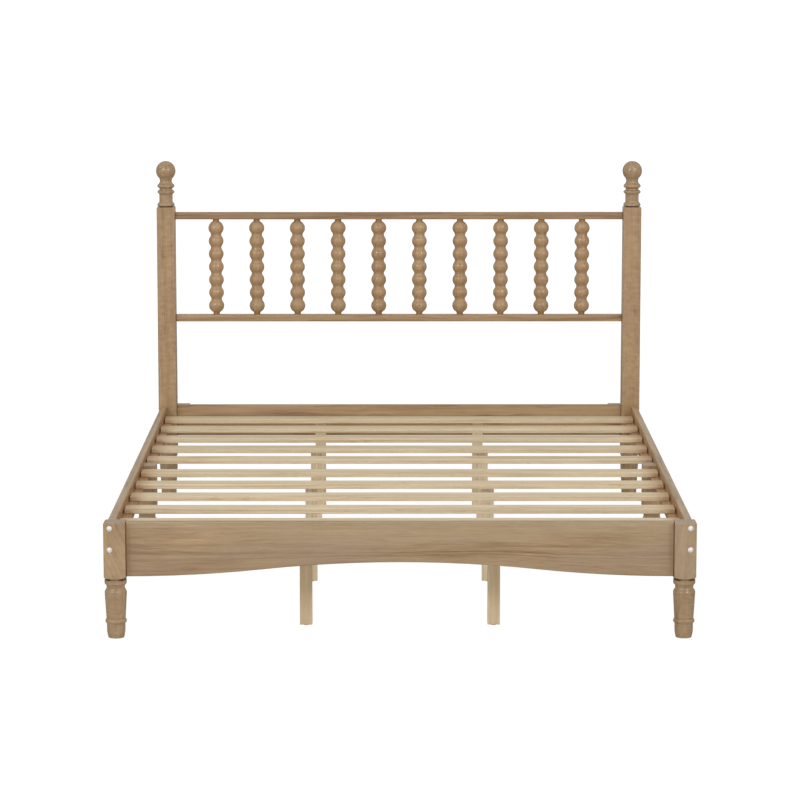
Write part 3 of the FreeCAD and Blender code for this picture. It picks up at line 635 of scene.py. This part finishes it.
def settled(amount, *spans, hue="stain"):
    """A colour laid where every span holds; it serves for settled stain and for painted shade and
    painted light.
    """
    return amount, hue, measured(*spans)


# How thick the lacquer lies, and how much of the stain's grey cast shows
LACQUER = 0.6
THIN_LACQUER = 0.4
FAINT_CAST = 0.1
FULL_CAST = 1.0

# Faces of the bed that the marks of stain and of painted shade and light are measured from
RAIL_END = high("foot_rail").x
RAIL_TOP = high("foot_rail").z
RAIL_FRONT = -low("foot_rail").y
SIDE_INSIDE = low("side_rail_right").x
POST_INSIDE = low("foot_post_right").x
POST_FRONT = -low("foot_post_right").y
POST_SOLE = low("foot_post_right").z
POST_AXIS = middle("foot_post_right").x
POST_TOP = high("head_post_right").z
TOP_RAIL_UNDERSIDE = low("top_spindle_rail").z
LOWER_RAIL_TOP = high("lower_spindle_rail").z
SLAT_END = high("slat_01").x
SUPPORT_SOLE = low("support_leg_slat_10_right").z

# Painted shade where a rail's end meets a post: a dark line on its last two millimetres.
RAIL_END_PAINTED_SHADE = settled(0.95, ("x", RAIL_END, -2, -0.6))
# Painted soft shade, warm, on the last 18 millimetres of the rail beside the post.
RAIL_SHOULDER_PAINTED_SHADE = settled(0.35, ("x", RAIL_END, -18, -1), hue="warm")
# Painted shade: the foot rail darkens towards its bottom edge, as under light from above.
RAIL_FOOT_PAINTED_SHADE = settled(0.16, ("z", RAIL_TOP, -21, -106))
# Painted shade: the side rails' inner faces warmer and darker than their tops.
RAIL_INSIDE_PAINTED_SHADE = (
    settled(0.65, ("x", SIDE_INSIDE, 1.4, 0.2), hue="warm"),
    settled(0.2, ("x", SIDE_INSIDE, 1.4, 0.2), hue="dark"),
)
LEDGER_STAIN = (settled(0.4, hue="warm"),)
POST_TINT = settled(0.1, hue="warm")
# Painted shade on the bottom of each post, over the groove above its leg.
POST_FOOT_PAINTED_SHADE = settled(0.15, ("z", POST_SOLE, 4, 1))
# Painted shade on the strip of each foot post's inner face in front of the foot rail.
POST_JOINT_PAINTED_SHADE = settled(
    0.9, ("x", POST_INSIDE, 0.9, 0.2), ("y", RAIL_FRONT, -5.75, 0.25), ("y", POST_FRONT, -2.25, -4.75)
)
# In the groove atop each leg: painted shade at the sides and painted light in the middle.
LEG_TOP_PAINTED_SHADE_AND_LIGHT = (
    settled(0.6, ("z", POST_SOLE, -6.5, -4), ("x", POST_AXIS, -6, -16)),
    settled(0.6, ("z", POST_SOLE, -6.5, -4), ("x", POST_AXIS, 6, 16)),
    settled(
        0.8, ("z", POST_SOLE, -6.5, -5), ("x", POST_AXIS, -16, -6), ("x", POST_AXIS, 16, 6), hue="light"
    ),
)
# Painted shade at the foot of each finial, where it sits on its post.
FINIAL_FOOT_PAINTED_SHADE = settled(0.85, ("z", POST_TOP, 6, 3))
SPINDLE_TINT = settled(0.2, hue="warm")
# Painted shade at the spindles' necks, under the top rail and above the lower rail.
NECK_TOP_PAINTED_SHADE = settled(0.5, ("z", TOP_RAIL_UNDERSIDE, -14.6, -2.6))
NECK_FOOT_PAINTED_SHADE = settled(0.45, ("z", LOWER_RAIL_TOP, 11.6, 2.6))
# Painted shade, warm, on the slat ends beside the side rails.
SLAT_END_PAINTED_SHADE = settled(0.5, ("x", SLAT_END, -61, -7), hue="warm")
# Painted light: every support lighter near the floor.
SUPPORT_FOOT_PAINTED_LIGHT = settled(0.25, ("z", SUPPORT_SOLE, 72, 5), hue="light")
# Painted shade on the front supports, which stand behind the foot rail.
FRONT_SUPPORT_PAINTED_SHADE = settled(0.14, hue="pore")

# Flecks: how strong they are, and their waves per metre along the grain and across it
POST_FLECKS = (0.9, 80, 40)
FOOT_POST_FLECKS = (0.7, 60, 150)
LEG_FLECKS = (0.6, 170, 50)
TURNED_FLECKS = (1.1, 60, 230)
RAIL_FLECKS = (0.75, 16, 190)
SUPPORT_STREAKS = (1.3, 2, 170)

# Slant of the grain, in radians, and knots: millimetres below the post's top, aside, and the radius
POST_SLANT = {"foot_post_left": -0.42, "foot_post_right": 0.12}
POST_KNOTS = {
    "head_post_left": ((160, -8, 9), (127, 19, 6)),
    "head_post_right": ((346, 12, 6),),
}
FOOT_POST_GRAIN = {
    "calm": 0.6,
    "tone": 0.1,
    "cast": 0.75,
    "stains_and_shade": (POST_FOOT_PAINTED_SHADE, POST_JOINT_PAINTED_SHADE),
    "flecks": FOOT_POST_FLECKS,
}
POST_GRAIN = {
    "calm": 0.3,
    "tone": 0.02,
    "cast": FAINT_CAST,
    "stains_and_shade": (POST_TINT, POST_FOOT_PAINTED_SHADE),
    "flecks": POST_FLECKS,
}


class BED_OT_posts(bpy.types.Operator):
    """Stain the corner posts and the posts half way along the sides, with upright grain"""

    bl_idname = "bed.posts"
    bl_label = "Posts"

    def execute(self, context):
        look = context.scene.bed_oak
        for name in named("head_post_", "foot_post_", "mid_post_"):
            top = high(name).z - middle(name).z
            knots = [
                (top - drop * MM, aside * MM, radius * MM)
                for drop, aside, radius in POST_KNOTS.get(name, ())
            ]
            slant = POST_SLANT.get(name, 0.0)
            cut = FOOT_POST_GRAIN if name.startswith("foot_") else POST_GRAIN
            grain = Grain(name, "zxy", knots=knots, slant=slant, **cut)
            dress(name, wood(name + "_oak", look, grain, LACQUER))
        return {"FINISHED"}


LEG_GRAIN = {"calm": 0.35, "lathe": 0.6, "stains_and_shade": LEG_TOP_PAINTED_SHADE_AND_LIGHT, "flecks": LEG_FLECKS}
LEG_TONES = {"left": 0.17, "right": 0.22}
LEG_CASTS = {"left": FULL_CAST, "right": FAINT_CAST}
FINIAL_GRAIN = {
    "calm": 0.35,
    "lathe": 0.7,
    "cast": FAINT_CAST,
    "stains_and_shade": (FINIAL_FOOT_PAINTED_SHADE,),
    "flecks": TURNED_FLECKS,
}
FINIAL_TONES = {"left": 0.05, "right": 0.13}


class BED_OT_turnings(bpy.types.Operator):
    """Stain the turned legs and the ball finials"""

    bl_idname = "bed.turnings"
    bl_label = "Legs and Finials"

    def execute(self, context):
        look = context.scene.bed_oak
        for name in named("head_leg_", "foot_leg_", "mid_leg_"):
            side = side_of(name)
            grain = Grain(name, "zxy", tone=LEG_TONES[side], cast=LEG_CASTS[side], **LEG_GRAIN)
            dress(name, wood(name + "_oak", look, grain, LACQUER))
        for name in named("head_finial_"):
            grain = Grain(name, "zxy", tone=FINIAL_TONES[side_of(name)], **FINIAL_GRAIN)
            dress(name, wood(name + "_oak", look, grain, LACQUER))
        return {"FINISHED"}


SPINDLE_GRAIN = {
    "calm": 0.4,
    "tone": 0.06,
    "lathe": 0.3,
    "cast": FAINT_CAST,
    "stains_and_shade": (SPINDLE_TINT, NECK_TOP_PAINTED_SHADE, NECK_FOOT_PAINTED_SHADE),
    "flecks": TURNED_FLECKS,
}


class BED_OT_spindles(bpy.types.Operator):
    """Stain the beaded spindles"""

    bl_idname = "bed.spindles"
    bl_label = "Spindles"

    def execute(self, context):
        look = context.scene.bed_oak
        for name in named("spindle_"):
            grain = Grain(name, "zxy", **SPINDLE_GRAIN)
            dress(name, wood(name + "_oak", look, grain, THIN_LACQUER))
        return {"FINISHED"}


HEAD_RAIL_TONES = {"top_spindle_rail": 0.3, "lower_spindle_rail": 0.0, "head_rail": 0.0}
HEAD_RAIL_WARMTH = {"top_spindle_rail": 0.1, "lower_spindle_rail": 0.15, "head_rail": 0.15}


class BED_OT_head_rails(bpy.types.Operator):
    """Stain the two spindle rails, the low head rail and its corner blocks"""

    bl_idname = "bed.head_rails"
    bl_label = "Head Rails"

    def execute(self, context):
        look = context.scene.bed_oak
        for name, tone in HEAD_RAIL_TONES.items():
            stains_and_shade = (RAIL_END_PAINTED_SHADE, settled(HEAD_RAIL_WARMTH[name], hue="warm"))
            grain = Grain(name, "xzy", tone=tone, cast=FAINT_CAST, stains_and_shade=stains_and_shade)
            dress(name, wood(name + "_oak", look, grain, LACQUER))
        for name in named("head_corner_blocks"):
            dress(name, wood(name + "_oak", look, Grain(name, "zxy"), LACQUER))
        return {"FINISHED"}


# Foot rail: the rise of its arch, and how far its pith lies above its top and behind its middle
ARCH_RISE = 39 * MM
RAIL_PITH_ABOVE = 20 * MM
RAIL_PITH_BEHIND = 70 * MM
FOOT_RAIL_GRAIN = {
    "calm": 0.7,
    "stains_and_shade": (RAIL_SHOULDER_PAINTED_SHADE, RAIL_END_PAINTED_SHADE, RAIL_FOOT_PAINTED_SHADE),
    "flecks": RAIL_FLECKS,
    "dashes": (0.85, measured(("z", RAIL_TOP, -31, -66))),
}


class BED_OT_foot_rail(bpy.types.Operator):
    """Stain the arched foot rail; its grain follows the arch"""

    bl_idname = "bed.foot_rail"
    bl_label = "Foot Rail"

    def execute(self, context):
        span, _, tall = high("foot_rail") - low("foot_rail")

        def arch(along, across):
            bow = ((along * (math.tau / span)).cosine() + 1) * (ARCH_RISE / 2)
            return bow * (0.5 - across / tall).kept()

        pith = (tall / 2 + RAIL_PITH_ABOVE, RAIL_PITH_BEHIND)
        grain = Grain("foot_rail", "xzy", pith=pith, follow=arch, **FOOT_RAIL_GRAIN)
        dress("foot_rail", wood("foot_rail_oak", context.scene.bed_oak, grain, LACQUER))
        return {"FINISHED"}


SIDE_RAIL_TONES = {"left": -0.14, "right": -0.32}
LEDGER_TONE = 0.1


class BED_OT_side_rails(bpy.types.Operator):
    """Stain the side rails and the ledgers inside them, with grain along the bed"""

    bl_idname = "bed.side_rails"
    bl_label = "Side Rails"

    def execute(self, context):
        look = context.scene.bed_oak
        for name in named("side_rail_left", "side_rail_right"):
            tone = SIDE_RAIL_TONES[side_of(name)]
            grain = Grain(name, "yzx", tone=tone, cast=FAINT_CAST, stains_and_shade=RAIL_INSIDE_PAINTED_SHADE)
            dress(name, wood(name + "_oak", look, grain, THIN_LACQUER))
        for name in named("slat_ledger_"):
            grain = Grain(name, "yzx", tone=LEDGER_TONE, cast=FAINT_CAST, stains_and_shade=LEDGER_STAIN)
            dress(name, wood(name + "_oak", look, grain, THIN_LACQUER))
        return {"FINISHED"}


# Knots in a slat: how many, how far from its middle and how large, in millimetres
SLAT_KNOTS = 2
KNOT_ALONG = 700
KNOT_ACROSS = 26
KNOT_RADII = (3, 7)

# How much painted shade darkens each slat more than the next one towards the foot, and the tone of
# painted shade on the front supports, which stand behind the foot rail
SLAT_SHADE = 0.011
FRONT_SUPPORT_SHADE_TONE = 0.52


def slat_knots(name):
    """Small knots drawn by lot: along the slat, across it and the radius."""
    draw = random.Random(name + "_knots")
    return [
        (
            draw.uniform(-KNOT_ALONG, KNOT_ALONG) * MM,
            draw.uniform(-KNOT_ACROSS, KNOT_ACROSS) * MM,
            draw.uniform(*KNOT_RADII) * MM,
        )
        for _ in range(SLAT_KNOTS)
    ]


class BED_OT_slats(bpy.types.Operator):
    """Leave the slats and their support legs as planed pine"""

    bl_idname = "bed.slats"
    bl_label = "Slats and Supports"

    def execute(self, context):
        look = context.scene.bed_pine
        slats = named("slat_0", "slat_1")
        for place, name in enumerate(reversed(slats)):
            # Painted shade: each slat nearer the head is darker.
            tone = SLAT_SHADE * place
            grain = Grain(name, "xyz", knots=slat_knots(name), tone=tone, stains_and_shade=(SLAT_END_PAINTED_SHADE,))
            dress(name, wood(name + "_pine", look, grain))
        for name in named("support_leg_slat_"):
            front = name.startswith("support_leg_" + slats[-1])
            # The front supports get painted shade; every support gets painted light near the floor.
            tone = FRONT_SUPPORT_SHADE_TONE if front else 0.0
            stains_and_shade = (FRONT_SUPPORT_PAINTED_SHADE, SUPPORT_FOOT_PAINTED_LIGHT) if front else (SUPPORT_FOOT_PAINTED_LIGHT,)
            grain = Grain(name, "zxy", tone=tone, stains_and_shade=stains_and_shade, flecks=SUPPORT_STREAKS)
            dress(name, wood(name + "_pine", look, grain))
        return {"FINISHED"}


class BED_OT_dowels(bpy.types.Operator):
    """Leave the dowels as plain beech"""

    bl_idname = "bed.dowels"
    bl_label = "Dowels"

    def execute(self, context):
        for name in named("dowels"):
            dress(name, wood("dowel_beech", context.scene.bed_beech, Grain(name, "xyz")))
        return {"FINISHED"}


FASTENERS = (
    "side_rail_bolts",
    "mid_post_bolts",
    "barrel_nuts",
    "slat_screws",
    "ledger_and_block_screws",
)


class BED_OT_hardware(bpy.types.Operator):
    """Plate the bolts, nuts and screws with zinc"""

    bl_idname = "bed.hardware"
    bl_label = "Bolts, Nuts and Screws"

    def execute(self, context):
        plate = zinc_plate("bright_zinc", context.scene.bed_hardware)
        for name in FASTENERS:
            dress(name, plate)
        return {"FINISHED"}


class BED_OT_glides(bpy.types.Operator):
    """Give the floor glides their moulded plastic"""

    bl_idname = "bed.glides"
    bl_label = "Floor Glides"

    def execute(self, context):
        plastic = glide_plastic("glide_plastic_moulded", context.scene.bed_hardware)
        for name in named("support_leg_glides"):
            dress(name, plastic)
        return {"FINISHED"}


# Floor: waves per metre of its clouds, and shares of its white
FLOOR_CLOUDS = 2
FLOOR_WEAR = 0.98
FLOOR_GLOW = 1.02
FLOOR_GLOW_SHARE = 0.95
FLOOR_MIRRORED = 0.2

# Where the floor starts to fade and where it is gone, as shares of its span
FLOOR_FADE_SHARES = (0.25, 0.5)


def white_floor(look):
    """A white floor that shows a faint shadow, and that is not there from below or far out."""
    finish = Finish(bpy.data.materials.new("white_floor"))
    x, y, _ = finish.place()
    cloud = finish.noise(finish.spot(), CLOUD_DETAIL, scale=FLOOR_CLOUDS)
    white = finish.blend(cloud, look.floor, dimmed(look.floor, FLOOR_WEAR))
    matt = finish.node("ShaderNodeBsdfDiffuse", {}, {"Color": white})
    sockets = {"Color": opaque(look.floor), "Strength": FLOOR_GLOW}
    glow = finish.node("ShaderNodeEmission", {}, sockets)
    seen = finish.mixed(FLOOR_GLOW_SHARE, matt, glow)
    bounce, mirrored = (
        finish.node("ShaderNodeBsdfDiffuse", {}, {"Color": dimmed(look.floor, kept_share)})
        for kept_share in (look.floor_bounce, FLOOR_MIRRORED)
    )
    ray = finish.node("ShaderNodeLightPath", {}, {}, "Is Camera Ray")
    lit = finish.mixed(ray.beside("Is Glossy Ray"), bounce, mirrored)
    lit = finish.mixed(ray, lit, seen)
    clear = finish.node("ShaderNodeBsdfTransparent", {}, {})
    under = finish.node("ShaderNodeNewGeometry", {}, {}, "Backfacing")
    away = distance(x, y).eased(*(look.floor_span * fade for fade in FLOOR_FADE_SHARES))
    return finish.output("ShaderNodeOutputMaterial", finish.mixed((under + away).kept(), lit, clear))


def lay_floor(look):
    half = look.floor_span / 2
    mesh = bpy.data.meshes.new("floor")
    corners = [(-half, -half, 0), (half, -half, 0), (half, half, 0), (-half, half, 0)]
    mesh.from_pydata(corners, [], [(0, 1, 2, 3)])
    mesh.materials.append(white_floor(look))
    floor = bpy.data.objects.new("floor", mesh)
    bpy.context.scene.collection.objects.link(floor)


# Lights, in metres: what they are aimed at, where each stands, and its width and height
AIM = (0, 0, 0.4)
OVERHEAD_SPOT = (0, -1.6, 5.2)
OVERHEAD_SPANS = (5, 4)
FRONT_SPOT = (0, -9.5, 0.9)
FRONT_SPANS = (2, 1.5)
SIDE_REACHES = {"left": -5.2, "right": 5.2}
SIDE_BACK = -7.2
SIDE_HEIGHT = 4.8
SIDE_SPANS = (1.8, 0.7)
WINDOW_HEIGHT = 4.9
WINDOW_SPANS = (2.4, 0.6)


def soft_light(name, spot, spans, watts, glint=False):
    """A soft lamp aimed at the bed; it either lights the bed or glints in its lacquer."""
    lamp = bpy.data.lights.new(name, "AREA")
    lamp.shape = "RECTANGLE"
    lamp.size, lamp.size_y = spans
    lamp.energy = watts
    item = bpy.data.objects.new(name, lamp)
    item.location = spot
    item.rotation_euler = (Vector(AIM) - Vector(spot)).to_track_quat("-Z", "Y").to_euler()
    item.visible_diffuse = not glint
    item.visible_glossy = glint
    bpy.context.scene.collection.objects.link(item)


def hang_lights(look):
    """Softboxes over, before and beside the bed, and two windows that only glint."""
    soft_light("overhead_softbox", OVERHEAD_SPOT, OVERHEAD_SPANS, look.overhead)
    soft_light("front_softbox", FRONT_SPOT, FRONT_SPANS, look.front)
    for side, reach in SIDE_REACHES.items():
        soft_light(side + "_softbox", (reach, SIDE_BACK, SIDE_HEIGHT), SIDE_SPANS, look.side)
        window = (reach, SIDE_BACK, WINDOW_HEIGHT)
        soft_light(side + "_window", window, WINDOW_SPANS, look.glint, glint=True)


# Brightness of the white that the camera sees behind the bed
BACKDROP = 1.1


def white_studio(look):
    """White walls all around, with their own brightness for fill, for gloss and for the camera."""
    finish = Finish(bpy.data.worlds.new("white_studio"))
    fill, sheen, backdrop = (
        finish.node("ShaderNodeBackground", {}, {"Color": WHITE, "Strength": strength})
        for strength in (look.fill, look.sheen, BACKDROP)
    )
    ray = finish.node("ShaderNodeLightPath", {}, {}, "Is Camera Ray")
    walls = finish.mixed(ray.beside("Is Glossy Ray"), fill, sheen)
    return finish.output("ShaderNodeOutputWorld", finish.mixed(ray, walls, backdrop))


SENSOR_WIDTH = 36
FAR_CLIP = 200


def stand_camera(look):
    lens = bpy.data.cameras.new("camera")
    lens.lens = look.lens
    lens.sensor_width = SENSOR_WIDTH
    lens.clip_end = FAR_CLIP
    camera = bpy.data.objects.new("camera", lens)
    camera.location = look.eye
    camera.rotation_euler = (math.pi / 2 - look.pitch, 0, -look.heading)
    bpy.context.scene.collection.objects.link(camera)
    bpy.context.scene.camera = camera


class BED_OT_stage(bpy.types.Operator):
    """Lay the floor, set the lights and stand the camera"""

    bl_idname = "bed.stage"
    bl_label = "Stage"

    def execute(self, context):
        look = context.scene.bed_stage
        lay_floor(look)
        hang_lights(look)
        context.scene.world = white_studio(look)
        context.scene.view_settings.view_transform = "Standard"
        stand_camera(look)
        return {"FINISHED"}


class BED_PT_sidebar(bpy.types.Panel):
    """Everything that finishes the bed"""

    bl_idname = "BED_PT_sidebar"
    bl_label = "Platform Bed"
    bl_space_type = "VIEW_3D"
    bl_region_type = "UI"
    bl_category = "Bed"

    def draw(self, context):
        for operator in OPERATORS:
            self.layout.operator(operator.bl_idname)


LOOKS = {
    "bed_oak": StainedOakLook,
    "bed_pine": PaleSlatPineLook,
    "bed_beech": DowelBeechLook,
    "bed_hardware": HardwareLook,
    "bed_stage": StageLook,
}
OPERATORS = (
    BED_OT_posts,
    BED_OT_turnings,
    BED_OT_spindles,
    BED_OT_head_rails,
    BED_OT_foot_rail,
    BED_OT_side_rails,
    BED_OT_slats,
    BED_OT_dowels,
    BED_OT_hardware,
    BED_OT_glides,
    BED_OT_stage,
)


def register():
    for group in (*LOOKS.values(), *OPERATORS, BED_PT_sidebar):
        bpy.utils.register_class(group)
    for name, look in LOOKS.items():
        setattr(bpy.types.Scene, name, PointerProperty(type=look))


def unregister():
    for name in LOOKS:
        delattr(bpy.types.Scene, name)
    for group in reversed((*LOOKS.values(), *OPERATORS, BED_PT_sidebar)):
        bpy.utils.unregister_class(group)


def main():
    register()
    for operator in OPERATORS:
        getattr(bpy.ops.bed, operator.bl_idname.split(".")[1])()


if __name__ == "__main__":
    main()
